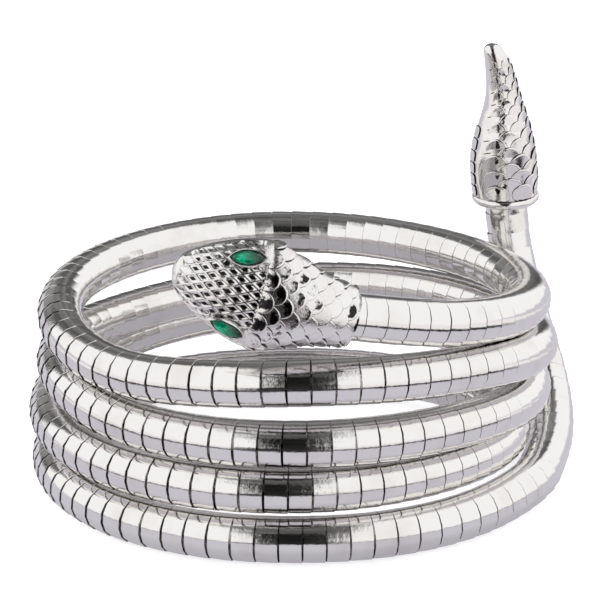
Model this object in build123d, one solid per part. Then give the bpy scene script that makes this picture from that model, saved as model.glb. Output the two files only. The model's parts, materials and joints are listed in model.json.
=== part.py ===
from build123d import *
import math
import os

# Snake bracelet: a springy coil of overlapping rings with a cast head and a cast tail.
# Millimetres. +Z up. The lowest turn lies on Z = 0, and the origin is the middle of the
# bounding box's bottom. -Y is the front, where the head lies on top of the turns.

# Coil
coil_radius = 33.0
tube_dia = 6.4
points_per_turn = 16
# Share of the shorter run that an arc takes up at each end
run_share = 0.45
# Turns from the front to the end of the coil inside the head, and to where it starts to rise
first_turn = 0.014
last_turn = 4.1875

# Sockets in the head and the tail that hold the ends of the coil
socket_depth = 5.5
socket_wall = 0.5
# Gap round a tube end in its socket, and round a stone in its seat
fit_clearance = 0.1

# Head
head_length = 23.8
head_width = 14.4
head_height = 10.4
head_bend_radius = 56.0
# Degrees that the top of the head leans up from straight outwards
head_lean = 3.0
# Degrees that the nose points up from the line of the socket
head_pitch = 5.8
head_cells_round = 20
head_rows = 17
head_scale_rise = 0.45
lattice_depth = 0.35
# Share of head_length from which the lattice takes the place of the scales
lattice_start = 0.49
# Start and end of the plain chin, as shares of a turn round the head from its left side
chin_band = (0.52, 0.97)

# Relief of the head and the tail
# Plates of the scales and sunk panes of the lattice, as shares of their cells
head_plate = 0.86
tail_plate = 0.84
lattice_pane = 0.74
# Where a plate's corners lie on the way from a cell's side corners to its back corner
plate_corner = 0.6
# Rise of a scale's covered edge as a share of the rise of its free edge
scale_tuck = 0.12
# Share of the length from which the nose and the tip of the tail are plain
plain_end = 0.95

# Eyes
eye_length = 4.6
eye_width = 2.0
eye_girdle = 0.35
eye_crown = 0.7
eye_pavilion = 0.7
eye_sides = 16
# Lengths and widths of the table and of the flat under the stone, as shares of the girdle's
eye_table = (0.62, 0.58)
eye_keel = (0.3, 0.2)
# Share of head_length, and share of the half width there, of an eye's middle
eye_place = 0.634
eye_spread = 0.70
# Height of an eye's girdle over the smooth head
eye_stand = 0.4
# Degrees that an eye leans outwards, and that its back end turns outwards
eye_lean = 36.0
eye_turn = 16.0
bezel_wall = 0.4
bezel_root = 1.8
# Room at a stone's points as a multiple of the room at its sides
point_room = 1.5

# Tail
tail_length = 24.7
tail_width = 9.8
# Width of the tail across its back, as a share of its thickness from back to belly
tail_side_share = 0.94
# Degrees that the back of the tail is turned from straight outwards
tail_turn = -28.0
tail_cells_round = 16
tail_rows = 20
tail_scale_rise = 0.4
belly_plate_step = 0.22
# Start and end of the belly, as shares of a turn round the tail from its left side
belly_band = (0.6, 0.9)
collar_height = 1.3
collar_bead = 0.25

# Distance of the coil's centre line from its axis, as a share of coil_radius.
# A row for each turn from the head downwards. Columns, an eighth of a turn each:
# front, front right, right, back right, back, back left, left, front left.
radius_shares = [
    [1.04, 1.04, 1.035, 1.00, 0.99, 0.97, 0.96, 0.965],
    [0.99, 1.035, 1.075, 1.025, 0.98, 0.96, 0.97, 0.965],
    [0.975, 1.00, 1.05, 1.10, 1.12, 1.07, 1.01, 0.985],
    [0.96, 0.945, 0.965, 0.99, 1.01, 1.03, 1.00, 1.00],
    [0.985, 1.055, 1.13],
]
# Height of the centre line as a share of tube_dia, in the same rows and columns.
height_shares = [
    [5.746, 4.83, 4.20, 4.00, 4.00, 3.95, 3.90, 3.65],
    [4.00, 3.80, 3.10, 2.90, 2.70, 2.55, 2.80, 2.60],
    [2.60, 2.50, 2.05, 1.85, 1.90, 1.70, 1.55, 1.55],
    [1.55, 1.45, 1.10, 0.70, 0.50, 0.50, 0.50, 0.50],
    [0.50, 0.50, 0.50],
]
stations_per_turn = 8

# The rise from the lowest turn into the tail.
# Columns: turns from the front, distance from the axis as a share of coil_radius,
# height as a share of tube_dia.
rise_points = [
    (4.231, 1.128, 0.493),
    (4.270, 1.185, 0.683),
    (4.305, 1.255, 1.144),
    (4.333, 1.302, 1.955),
    (4.352, 1.318, 3.130),
    (4.361, 1.300, 4.521),
    (4.360, 1.284, 5.898),
]

# Sections of the head from the neck to the nose. A half width or height is the neck share
# of the socket's outer radius, plus the next shares of half head_width or head_height.
# Columns: share of head_length, neck, width, top, bottom, squareness.
head_sections = [
    (0.00, 1.00, 0.00, 0.00, 0.00, 2.0),
    (0.09, 0.75, 0.18, 0.28, 0.22, 2.0),
    (0.21, 0.45, 0.43, 0.60, 0.46, 2.0),
    (0.33, 0.20, 0.71, 0.85, 0.63, 2.1),
    (0.44, 0.05, 0.92, 0.98, 0.71, 2.1),
    (0.53, 0.00, 1.00, 0.99, 0.69, 2.1),
    (0.66, 0.00, 0.90, 0.91, 0.59, 2.1),
    (0.78, 0.00, 0.73, 0.78, 0.48, 2.1),
    (0.88, 0.00, 0.54, 0.59, 0.36, 2.1),
    (0.96, 0.00, 0.34, 0.38, 0.25, 2.0),
    (1.00, 0.00, 0.17, 0.17, 0.10, 2.0),
]

# Sections of the tail from its collar to its tip.
# Columns: share of tail_length, neck as on the head, thickness as a share of half
# tail_width, curl towards the belly as a share of tail_width.
tail_sections = [
    (0.00, 1.00, 0.20, 0.00),
    (0.11, 0.40, 0.68, 0.02),
    (0.22, 0.10, 0.90, 0.035),
    (0.32, 0.00, 0.93, 0.035),
    (0.44, 0.00, 0.80, 0.03),
    (0.52, 0.00, 0.69, 0.03),
    (0.60, 0.00, 0.58, 0.035),
    (0.69, 0.00, 0.49, 0.05),
    (0.79, 0.00, 0.43, 0.085),
    (0.88, 0.00, 0.37, 0.13),
    (0.96, 0.00, 0.25, 0.20),
    (1.00, 0.00, 0.08, 0.245),
]

# Rings of the tail's collar.
# Columns: share of collar_height, share of collar_bead outwards.
collar_rings = [
    (0.0, -1.0),
    (0.3, 0.8),
    (0.7, 1.0),
]


def along(rows, place, column):
    """Value of a column at a place in the first column, on a smooth curve through the rows."""
    last = len(rows) - 1
    i = 0
    while i < last - 1 and place > rows[i + 1][0]:
        i = i + 1
    before = rows[max(i - 1, 0)]
    start = rows[i]
    end = rows[i + 1]
    after = rows[min(i + 2, last)]
    span = end[0] - start[0]
    t = (place - start[0]) / span
    slope_in = (end[column] - before[column]) / (end[0] - before[0]) * span
    slope_out = (after[column] - start[column]) / (after[0] - start[0]) * span
    return (
        start[column] * (2 * t**3 - 3 * t**2 + 1)
        + slope_in * (t**3 - 2 * t**2 + t)
        + end[column] * (3 * t**2 - 2 * t**3)
        + slope_out * (t**3 - t**2)
    )


def at_turn(turn, radius, height):
    """Point at a number of turns from the front, at a radius and a height."""
    angle = 2 * math.pi * turn
    return Vector(radius * math.sin(angle), -radius * math.cos(angle), height)


def coil_route():
    """Corner points of the route from inside the head to inside the tail."""
    stations = []
    for radii, heights in zip(radius_shares, height_shares):
        for radius, height in zip(radii, heights):
            stations.append((len(stations) / stations_per_turn, radius, height))
    count = round((last_turn - first_turn) * points_per_turn)
    step = (last_turn - first_turn) / count
    # A corner stands out past the round line that the arcs follow.
    corner_radius = coil_radius / math.cos(math.pi * step)
    points = []
    for i in range(count + 1):
        turn = first_turn + i * step
        radius = along(stations, turn, 1) * corner_radius
        height = along(stations, turn, 2) * tube_dia
        points.append(at_turn(turn, radius, height))
    for turn, radius, height in rise_points:
        points.append(at_turn(turn, radius * coil_radius, height * tube_dia))
    return points


def arc_radii(points):
    """Radius of the arc at each inner point of a route."""
    radii = []
    for before, point, after in zip(points, points[1:], points[2:]):
        run_in = point - before
        run_out = after - point
        half_turn = math.radians(run_in.get_angle(run_out)) / 2
        shorter = min(run_in.length, run_out.length)
        radii.append(run_share * shorter / math.tan(half_turn))
    return radii


def make_coil(points):
    """The chain of rings as one round tube along the route."""
    radii = arc_radii(points)
    print("arc radii", [round(radius, 1) for radius in radii])
    path = FilletPolyline(*points, radius=radii)
    start = Plane(origin=path @ 0, z_dir=path % 0)
    tube = sweep(start * Circle(tube_dia / 2), path=path)
    cylinder = math.pi * tube_dia**2 / 4 * path.length
    print("tube length", round(path.length, 1), "share of volume", round(tube.volume / cylinder, 4))
    return tube


def rounded_point(angle, half_width, top, bottom, squareness):
    """Side and height of a point on a rounded section, at an angle from its left side."""
    power = 2 / squareness
    cos = math.cos(angle)
    sin = math.sin(angle)
    side = math.copysign(abs(cos) ** power, cos) * half_width
    reach = top if sin > 0 else bottom
    return side, math.copysign(abs(sin) ** power, sin) * reach


def ring_angles(count, shift=0.0):
    """Angles of the points of a ring, turned by a share of a step."""
    return [2 * math.pi * (i + shift) / count for i in range(count)]


def circle_ring(plane, distance, radius, count):
    """Ring of points on a circle across a plane's X axis."""
    centre = plane.origin + plane.x_dir * distance
    ring = []
    for angle in ring_angles(count):
        ring.append(centre + plane.y_dir * radius * math.cos(angle) + plane.z_dir * radius * math.sin(angle))
    return ring


def socket_rings(plane, count):
    """The bottom and the mouth of a socket, wide enough for its flats to clear the tube."""
    radius = (tube_dia / 2 + fit_clearance) / math.cos(math.pi / count)
    depth = socket_depth + fit_clearance
    return [circle_ring(plane, depth, radius, count), circle_ring(plane, 0, radius, count)]


def cell_triangles(left, back, right, front, inset, rise_back, rise_front):
    """A diamond cell whose middle plate is raised or sunk, with a broad back edge."""
    if inset == 0:
        return [(left, back, right), (left, right, front)]
    middle = (left + back + right + front) / 4
    normal = (back - front).cross(right - left).normalized()
    rise_side = (rise_back + rise_front) / 2
    rim = [
        (left, rise_side),
        (left + (back - left) * plate_corner, rise_back),
        (right + (back - right) * plate_corner, rise_back),
        (right, rise_side),
        (front, rise_front),
    ]
    a, b, c, d, e = [middle + (corner - middle) * inset + normal * rise for corner, rise in rim]
    return [
        (left, b, a),
        (left, back, b),
        (back, c, b),
        (back, right, c),
        (right, d, c),
        (right, front, d),
        (front, e, d),
        (front, left, e),
        (left, a, e),
        (a, b, c),
        (a, c, d),
        (a, d, e),
    ]


def cast_solid(plain_rings, cell_rings, relief):
    """Closed solid from plain rings, then rings of staggered cells, with a cap at each end."""
    count = len(plain_rings[0])
    triangles = []
    bottom = sum(plain_rings[0], Vector()) / count
    tip = sum(cell_rings[-1], Vector()) / count
    for i in range(count):
        triangles.append((plain_rings[0][i], plain_rings[0][(i + 1) % count], bottom))
        triangles.append((cell_rings[-1][i], cell_rings[-1][(i + 1) % count], tip))
    for low, high in zip(plain_rings, plain_rings[1:] + cell_rings[:1]):
        for i in range(count):
            j = (i + 1) % count
            triangles.append((low[i], low[j], high[i]))
            triangles.append((low[j], high[j], high[i]))
    last = len(cell_rings) - 1
    for row, ring in enumerate(cell_rings):
        for i in range(count):
            left = ring[i]
            right = ring[(i + 1) % count]
            nearest = (i + row % 2) % count
            if row == 0:
                triangles.append((left, right, cell_rings[1][nearest]))
            elif row == last:
                triangles.append((left, right, cell_rings[row - 1][nearest]))
            else:
                back = cell_rings[row - 1][nearest]
                front = cell_rings[row + 1][nearest]
                triangles += cell_triangles(left, back, right, front, *relief(row, i))
    faces = [Face(Wire.make_polygon(corners)) for corners in triangles]
    return Solid(Shell(faces))


def head_frame(plane, share):
    """Plane across the head at a share of its length, X forwards and Z to the top."""
    angle = share * head_length / head_bend_radius
    forward = plane.x_dir * math.cos(angle) - plane.z_dir * math.sin(angle)
    up = plane.x_dir * math.sin(angle) + plane.z_dir * math.cos(angle)
    drop = head_bend_radius * (1 - math.cos(angle))
    centre = plane.origin + plane.x_dir * head_bend_radius * math.sin(angle) - plane.z_dir * drop
    return Plane(origin=centre, x_dir=forward, z_dir=up)


def neck_radius():
    """Outer radius of the socket walls."""
    return tube_dia / 2 + fit_clearance + socket_wall


def head_point(plane, share, angle):
    """Point on the head at a share of its length and an angle from its left side."""
    neck = along(head_sections, share, 1) * neck_radius()
    half_width = neck + along(head_sections, share, 2) * head_width / 2
    top = neck + along(head_sections, share, 3) * head_height / 2
    bottom = neck + along(head_sections, share, 4) * head_height / 2
    squareness = along(head_sections, share, 5)
    side, height = rounded_point(angle, half_width, top, bottom, squareness)
    frame = head_frame(plane, share)
    return frame.origin + frame.y_dir * side + frame.z_dir * height


def head_relief(row, i):
    """Inset and rises of a head cell: scales, then the lattice, and a plain chin."""
    angle = (i + 0.5 + 0.5 * (row % 2)) / head_cells_round
    share = row / head_rows
    if chin_band[0] < angle < chin_band[1] or share > plain_end:
        return 0, 0, 0
    if share < lattice_start:
        return head_plate, head_scale_rise, scale_tuck * head_scale_rise
    return lattice_pane, -lattice_depth, -lattice_depth


def eye_plane(plane, mirror):
    """Plane of an eye's girdle, X along the eye and Z out of the head."""
    frame = head_frame(plane, eye_place)
    half_width = along(head_sections, eye_place, 2) * head_width / 2
    top = along(head_sections, eye_place, 3) * head_height / 2
    height = top * (1 - eye_spread**2) ** 0.5 + eye_stand
    lean = math.radians(eye_lean)
    turn = math.radians(eye_turn)
    outwards = frame.y_dir * mirror
    normal = frame.z_dir * math.cos(lean) + outwards * math.sin(lean)
    across = outwards * math.cos(lean) - frame.z_dir * math.sin(lean)
    forward = frame.x_dir * math.cos(turn) - across * math.sin(turn)
    centre = frame.origin + outwards * eye_spread * half_width + frame.z_dir * height
    return Plane(origin=centre, x_dir=forward, z_dir=normal)


def marquise_ring(plane, length, width, height, shift=0.0):
    """Points of a pointed oval at a height over a plane."""
    half = length / 2
    arc_radius = (half**2 + (width / 2) ** 2) / width
    spread = math.asin(half / arc_radius)
    sides = eye_sides // 2
    ring = []
    for side in (1, -1):
        for i in range(sides):
            angle = side * spread * (1 - 2 * (i + shift) / sides)
            x = arc_radius * math.sin(angle)
            y = side * (arc_radius * math.cos(angle) - arc_radius + width / 2)
            ring.append(plane.origin + plane.x_dir * x + plane.y_dir * y + plane.z_dir * height)
    return ring


def make_eye(plane):
    """Marquise stone with a table, two rows of crown facets, a girdle and a pavilion."""
    rings = [
        marquise_ring(plane, eye_length * eye_keel[0], eye_width * eye_keel[1], -eye_pavilion),
        marquise_ring(plane, eye_length, eye_width, 0),
        marquise_ring(plane, eye_length, eye_width, eye_girdle),
    ]
    table_height = eye_girdle + eye_crown
    rings.append(marquise_ring(plane, eye_length * eye_table[0], eye_width * eye_table[1], table_height, 0.5))
    triangles = []
    for low, high in zip(rings, rings[1:]):
        for i in range(eye_sides):
            j = (i + 1) % eye_sides
            triangles.append((low[i], low[j], high[i]))
            triangles.append((low[j], high[j], high[i]))
    faces = [Face(Wire.make_polygon(corners)) for corners in triangles]
    faces.append(Face(Wire.make_polygon(rings[0])))
    faces.append(Face(Wire.make_polygon(rings[-1])))
    return Solid(Shell(faces))


def marquise_prism(plane, margin, low, high):
    """Pointed oval block round an eye, from a low to a high level over its plane."""
    length = eye_length + 2 * margin * point_room
    ring = marquise_ring(plane, length, eye_width + 2 * margin, low)
    base = Face(Wire.make_polygon(ring))
    return Solid.extrude(base, plane.z_dir * (high - low))


def make_head(socket_plane, plane, eye_planes):
    """The cast head with its socket, scales, lattice and two eye seats."""
    rings = []
    for row in range(head_rows + 1):
        angles = ring_angles(head_cells_round, 0.5 * (row % 2))
        rings.append([head_point(plane, row / head_rows, angle) for angle in angles])
    head = cast_solid(socket_rings(socket_plane, head_cells_round), rings, head_relief)
    for seat in eye_planes:
        bezel = marquise_prism(seat, fit_clearance + bezel_wall, -bezel_root, eye_girdle)
        pocket = marquise_prism(seat, fit_clearance, -eye_pavilion - fit_clearance, eye_girdle + eye_crown)
        head = head.fuse(bezel).cut(pocket)
    return head


def tail_point(plane, share, angle, sink):
    """Point on the tail at a share of its length and an angle from its left side."""
    neck = along(tail_sections, share, 1) * neck_radius()
    half = neck + along(tail_sections, share, 2) * tail_width / 2 - sink
    curl = along(tail_sections, share, 3) * tail_width
    side = half * tail_side_share * math.cos(angle)
    height = half * math.sin(angle) - curl
    body_length = tail_length - collar_height
    forward = collar_height + share * body_length
    return plane.origin + plane.x_dir * forward + plane.y_dir * side + plane.z_dir * height


def on_belly(angle_share):
    """Whether a share of a whole turn from the left side lies on the belly."""
    return belly_band[0] < angle_share % 1 < belly_band[1]


def tail_relief(row, i):
    """Inset and rises of a tail cell: scales with their free edge to the tip, plain belly."""
    angle = (i + 0.5 + 0.5 * (row % 2)) / tail_cells_round
    if on_belly(angle) or row / tail_rows > plain_end:
        return 0, 0, 0
    return tail_plate, scale_tuck * tail_scale_rise, tail_scale_rise


def make_tail(plane):
    """The cast tail with its socket, rolled collar, scales and belly plates."""
    count = tail_cells_round
    rings = []
    for row in range(tail_rows + 1):
        ring = []
        for angle in ring_angles(count, 0.5 * (row % 2)):
            stepped = row % 2 == 1 and row < tail_rows and on_belly(angle / (2 * math.pi))
            sink = belly_plate_step if stepped else 0
            ring.append(tail_point(plane, row / tail_rows, angle, sink))
        rings.append(ring)
    collar_radius = neck_radius() + tail_sections[0][2] * tail_width / 2
    collar = []
    for height, bead in collar_rings:
        collar.append(circle_ring(plane, height * collar_height, collar_radius + bead * collar_bead, count))
    return cast_solid(socket_rings(plane, count) + collar, rings, tail_relief)


def outward_plane(end, inner, turn, lean):
    """Plane at a socket's mouth, X towards the free end of the piece, Z to its outer side."""
    forward = (end - inner).normalized()
    mouth = end - forward * socket_depth
    outwards = Vector(mouth.X, mouth.Y, 0).normalized()
    outwards = outwards.rotate(Axis.Z, turn)
    leaning = outwards * math.cos(math.radians(lean)) + Vector(0, 0, math.sin(math.radians(lean)))
    square = leaning - forward * leaning.dot(forward)
    return Plane(origin=mouth, x_dir=forward, z_dir=square.normalized())


def pitched(plane, degrees):
    """Plane turned about its Z axis, so that its X axis points up more."""
    angle = math.radians(degrees)
    forward = plane.x_dir * math.cos(angle) - plane.y_dir * math.sin(angle)
    return Plane(origin=plane.origin, x_dir=forward, z_dir=plane.z_dir)


route = coil_route()
head_socket_plane = outward_plane(route[0], route[1], 0, head_lean)
head_plane = pitched(head_socket_plane, head_pitch)
tail_plane = outward_plane(route[-1], route[-2], tail_turn, 0)
left_eye_plane = eye_plane(head_plane, 1)
right_eye_plane = eye_plane(head_plane, -1)

nodes = {
    "coil_body": make_coil(route),
    "head": make_head(head_socket_plane, head_plane, [left_eye_plane, right_eye_plane]),
    "eye_left": make_eye(left_eye_plane),
    "eye_right": make_eye(right_eye_plane),
    "tail": make_tail(tail_plane),
}

# Everything moves together, so that the middle of the whole box's bottom is the origin.
box = Compound(list(nodes.values())).bounding_box()
axis_place = Vector(-box.center().X, -box.center().Y, -box.min.Z)
print("coil axis at", round(axis_place.X, 2), round(axis_place.Y, 2), "raised by", round(axis_place.Z, 3))
print("size", round(box.size.X, 1), round(box.size.Y, 1), round(box.size.Z, 1))

os.makedirs("parts", exist_ok=True)
for name, solid in nodes.items():
    export_step(solid.moved(Location(axis_place)), "parts/" + name + ".step")
    print(name, "volume", round(solid.volume, 1), "valid", solid.is_valid)
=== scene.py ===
import bpy
import json
import math
from mathutils import Matrix, Vector, noise

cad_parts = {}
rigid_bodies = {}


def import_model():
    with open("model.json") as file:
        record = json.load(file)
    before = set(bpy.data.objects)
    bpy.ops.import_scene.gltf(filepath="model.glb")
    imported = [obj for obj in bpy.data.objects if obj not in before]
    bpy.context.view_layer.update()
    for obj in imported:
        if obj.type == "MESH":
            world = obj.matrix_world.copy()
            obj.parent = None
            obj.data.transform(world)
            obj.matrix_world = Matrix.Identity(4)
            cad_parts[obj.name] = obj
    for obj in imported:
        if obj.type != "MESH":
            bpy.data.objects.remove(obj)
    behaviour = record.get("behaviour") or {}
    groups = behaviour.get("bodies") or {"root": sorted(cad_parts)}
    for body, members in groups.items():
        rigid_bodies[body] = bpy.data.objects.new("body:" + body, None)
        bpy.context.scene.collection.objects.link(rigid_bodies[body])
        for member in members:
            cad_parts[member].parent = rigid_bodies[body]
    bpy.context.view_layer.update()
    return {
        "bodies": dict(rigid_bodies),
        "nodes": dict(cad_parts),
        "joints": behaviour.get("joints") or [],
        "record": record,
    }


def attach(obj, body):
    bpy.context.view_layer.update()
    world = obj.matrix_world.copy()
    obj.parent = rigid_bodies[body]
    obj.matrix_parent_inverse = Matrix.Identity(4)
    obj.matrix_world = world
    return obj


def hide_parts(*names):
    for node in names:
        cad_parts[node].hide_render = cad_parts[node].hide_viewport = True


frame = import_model()
mm = 0.001
weldDistance = 0.002 * mm


def deselectAll():
    if bpy.context.object and bpy.context.object.mode != "OBJECT":
        bpy.ops.object.mode_set(mode="OBJECT")
    bpy.ops.object.select_all(action="DESELECT")
    bpy.context.scene.tool_settings.mesh_select_mode = (True, False, False)


def applyPlace():
    bpy.ops.object.transform_apply(location=True, rotation=True, scale=True)


def startEdit():
    bpy.ops.object.mode_set(mode="EDIT")
    bpy.ops.mesh.select_all(action="SELECT")


def endEdit(weld=0.0):
    # doubles are merged, then the faces are turned outwards
    bpy.ops.mesh.select_all(action="SELECT")
    if weld:
        bpy.ops.mesh.remove_doubles(threshold=weld)
    bpy.ops.mesh.normals_make_consistent(inside=False)
    bpy.ops.object.mode_set(mode="OBJECT")


def smoothByAngle(degrees):
    bpy.ops.object.shade_smooth_by_angle(angle=math.radians(degrees))


def extrudeUp(height):
    bpy.ops.mesh.extrude_region_move(TRANSFORM_OT_translate={"value": (0, 0, height)})


def drawLoops(loops, unit=1.0):
    # the selected loop is drawn up its axis through (height, radius)
    for (lastHeight, lastRadius), (height, radius) in zip(loops, loops[1:]):
        extrudeUp((height - lastHeight) * unit)
        share = radius / lastRadius
        bpy.ops.transform.resize(value=(share, share, 1), center_override=(0, 0, 0))


def makeLoopPiece(sides, profile, unit=1.0):
    # a circle drawn along its axis, open at both ends
    deselectAll()
    height, radius = profile[0]
    bpy.ops.mesh.primitive_circle_add(
        vertices=sides, radius=radius * unit, location=(0, 0, height * unit))
    piece = bpy.context.object
    applyPlace()
    startEdit()
    drawLoops(profile, unit)
    endEdit()
    return piece


def joinPieces(pieces, name):
    deselectAll()
    for piece in pieces:
        piece.select_set(True)
    bpy.context.view_layer.objects.active = pieces[0]
    bpy.ops.object.join()
    joined = bpy.context.object
    joined.name = name
    joined.data.name = name
    return joined


def copyPiece(piece, place):
    copied = piece.copy()
    copied.data = piece.data.copy()
    bpy.context.collection.objects.link(copied)
    copied.data.transform(place)
    return copied


def dropPiece(piece):
    bpy.data.meshes.remove(piece.data)


def axesMatrix(x, y, z, place, scale=1.0):
    # for a copy: turned to three axes, scaled, and put in its place
    rows = [(x[i] * scale, y[i] * scale, z[i] * scale, place[i]) for i in range(3)]
    return Matrix((*rows, (0, 0, 0, 1)))


def setMaterial(piece, material):
    piece.data.materials.clear()
    piece.data.materials.append(material)


def newMaterial(name, values):
    material = bpy.data.materials.new(name)
    material.use_nodes = True
    nodes = material.node_tree.nodes
    shader = nodes["Principled BSDF"]
    for socket, value in values.items():
        shader.inputs[socket].default_value = value
    return material, nodes, shader


def feed(socket, value):
    # another node's output is linked, a number or a color is set
    if isinstance(value, bpy.types.NodeSocket):
        socket.id_data.links.new(value, socket)
    else:
        socket.default_value = value


def addNode(nodes, kind, values=None):
    node = nodes.new("ShaderNode" + kind)
    for name, value in (values or {}).items():
        feed(node.inputs[name], value)
    return node


def addRamp(nodes, factor, stops):
    # stops are (position, color)
    ramp = addNode(nodes, "ValToRGB", {"Fac": factor})
    elements = ramp.color_ramp.elements
    for position, color in stops[1:-1]:
        elements.new(position)
    for element, (position, color) in zip(elements, stops):
        element.position = position
        element.color = (*color, 1)
    return ramp.outputs["Color"]


def mixColor(nodes, factor, a, b):
    mix = addNode(nodes, "Mix")
    mix.data_type = "RGBA"
    for name, value in (("Factor", factor), ("A", a), ("B", b)):
        feed(mix.inputs[name], value)
    return mix.outputs["Result"]


def nodeTools(nodes):
    # maths on sockets and numbers, a soft step between two values, and one minus a value
    def maths(operation, *values):
        node = addNode(nodes, "Math", dict(enumerate(values)))
        node.operation = operation
        return node.outputs[0]

    def between(value, low, high):
        step = addNode(nodes, "MapRange", {"Value": value, "From Min": low, "From Max": high})
        step.interpolation_type = "SMOOTHSTEP"
        return step.outputs["Result"]

    def without(value):
        return maths("SUBTRACT", 1.0, value)

    return maths, between, without


# the place of the coil's axis in the frame, and the same route as the tube's
coilSet = {
    "axisPlace": (-2.71 * mm, 0.41 * mm, 0.061 * mm),
    "radius": 33.0 * mm,
    "tubeDia": 6.4 * mm,
    "pointsPerTurn": 16,
    "firstTurn": 0.014,
    "lastTurn": 4.1875,
    "stationsPerTurn": 8,
    # a row for each turn from the head downwards, an eighth of a turn in each column
    "radiusShares": [
        (1.04, 1.04, 1.035, 1.00, 0.99, 0.97, 0.96, 0.965),
        (0.99, 1.035, 1.075, 1.025, 0.98, 0.96, 0.97, 0.965),
        (0.975, 1.00, 1.05, 1.10, 1.12, 1.07, 1.01, 0.985),
        (0.96, 0.945, 0.965, 0.99, 1.01, 1.03, 1.00, 1.00),
        (0.985, 1.055, 1.13),
    ],
    "heightShares": [
        (5.746, 4.83, 4.20, 4.00, 4.00, 3.95, 3.90, 3.65),
        (4.00, 3.80, 3.10, 2.90, 2.70, 2.55, 2.80, 2.60),
        (2.60, 2.50, 2.05, 1.85, 1.90, 1.70, 1.55, 1.55),
        (1.55, 1.45, 1.10, 0.70, 0.50, 0.50, 0.50, 0.50),
        (0.50, 0.50, 0.50),
    ],
    # turns, radius share, height share
    "risePoints": [
        (4.231, 1.128, 0.493),
        (4.270, 1.185, 0.683),
        (4.305, 1.255, 1.144),
        (4.333, 1.302, 1.955),
        (4.352, 1.318, 3.130),
        (4.361, 1.300, 4.521),
        (4.360, 1.284, 5.898),
    ],
}


def alongTable(rows, place, column):
    last = len(rows) - 1
    i = 0
    while i < last - 1 and place > rows[i + 1][0]:
        i = i + 1
    before = rows[max(i - 1, 0)]
    start = rows[i]
    end = rows[i + 1]
    after = rows[min(i + 2, last)]
    span = end[0] - start[0]
    t = (place - start[0]) / span
    slopeIn = (end[column] - before[column]) / (end[0] - before[0]) * span
    slopeOut = (after[column] - start[column]) / (after[0] - start[0]) * span
    return (
        start[column] * (2 * t**3 - 3 * t**2 + 1)
        + slopeIn * (t**3 - 2 * t**2 + t)
        + end[column] * (3 * t**2 - 2 * t**3)
        + slopeOut * (t**3 - t**2)
    )


def coilRoute():
    s = coilSet
    stations = []
    for radii, heights in zip(s["radiusShares"], s["heightShares"]):
        for radius, height in zip(radii, heights):
            stations.append((len(stations) / s["stationsPerTurn"], radius, height))
    count = round((s["lastTurn"] - s["firstTurn"]) * s["pointsPerTurn"])
    step = (s["lastTurn"] - s["firstTurn"]) / count
    corner = 1 / math.cos(math.pi * step)
    places = []
    for i in range(count + 1):
        turn = s["firstTurn"] + i * step
        places.append((turn, alongTable(stations, turn, 1) * corner, alongTable(stations, turn, 2)))
    places += s["risePoints"]
    axis = Vector(s["axisPlace"])
    points = []
    for turn, radius, height in places:
        angle = 2 * math.pi * turn
        x = radius * s["radius"] * math.sin(angle)
        y = -radius * s["radius"] * math.cos(angle)
        points.append(axis + Vector((x, y, height * s["tubeDia"])))
    return points


def smoothLine(points, resolution):
    # the route as a smooth open line of close points
    curve = bpy.data.curves.new("coilLine", "CURVE")
    curve.dimensions = "3D"
    curve.resolution_u = resolution
    spline = curve.splines.new("NURBS")
    spline.points.add(len(points) - 1)
    for point, place in zip(spline.points, points):
        point.co = (place.x, place.y, place.z, 1)
    spline.order_u = 3
    spline.use_endpoint_u = True
    holder = bpy.data.objects.new("coilLine", curve)
    mesh = bpy.data.meshes.new_from_object(holder)
    line = [v.co.copy() for v in mesh.vertices]
    bpy.data.meshes.remove(mesh)
    bpy.data.objects.remove(holder)
    bpy.data.curves.remove(curve)
    return line


def stationsAlong(line, pitch, margin):
    # place, direction and a steady side vector every pitch along the line
    lengths = [0.0]
    for a, b in zip(line, line[1:]):
        lengths.append(lengths[-1] + (b - a).length)
    usable = lengths[-1] - 2 * margin
    count = round(usable / pitch)
    stations = []
    side = Vector((0, 0, 1))
    i = 0
    for k in range(count + 1):
        target = margin + usable * k / count
        while i < len(line) - 2 and lengths[i + 1] < target:
            i = i + 1
        t = (target - lengths[i]) / (lengths[i + 1] - lengths[i])
        place = line[i].lerp(line[i + 1], t)
        before = line[max(i - 1, 0)]
        after = line[min(i + 2, len(line) - 1)]
        forward = (line[i + 1] - before).normalized()
        forward = forward.lerp((after - line[i]).normalized(), t).normalized()
        side = (side - forward * side.dot(forward)).normalized()
        stations.append((place, forward, side))
    return stations, lengths[-1]


print("materials")

silverSet = {
    "color": (0.84, 0.825, 0.805),
    "tarnish": (0.72, 0.69, 0.66),
    # the colour of the painted shade and painted dark reflections
    "paintedShadeColor": (0.030, 0.028, 0.030),
    # roughness from and to, depth of the dents in mm, strength of the hairlines
    "rings": (0.04, 0.10, 0.055, 0.12),
    "cast": (0.10, 0.27, 0.11, 0.30),
    "tail": (0.05, 0.14, 0.035, 0.15),
    # slow patches of slightly duller metal, and where the tarnish starts and is full
    "patches": {"Scale": 160, "Detail": 4},
    "patchRange": (0.50, 0.85),
    # dents, a third of a millimetre and more across
    "dents": {"Scale": 900, "Detail": 5, "Roughness": 0.68},
    "dentStrength": 0.5,
    # how ragged the dents make the edge of the painted dark, and where that edge lies
    "ragged": 2.2,
    "paintedShadeRange": (1.55, 1.75),
    # hairline scratches: a fine stretched noise, the part of it that counts, its depth in mm
    "hairs": {"Scale": 1400, "Detail": 3},
    "hairStretch": (1, 1, 5),
    "hairRange": (0.35, 0.75),
    "hairDepth": 0.02,
}


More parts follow.
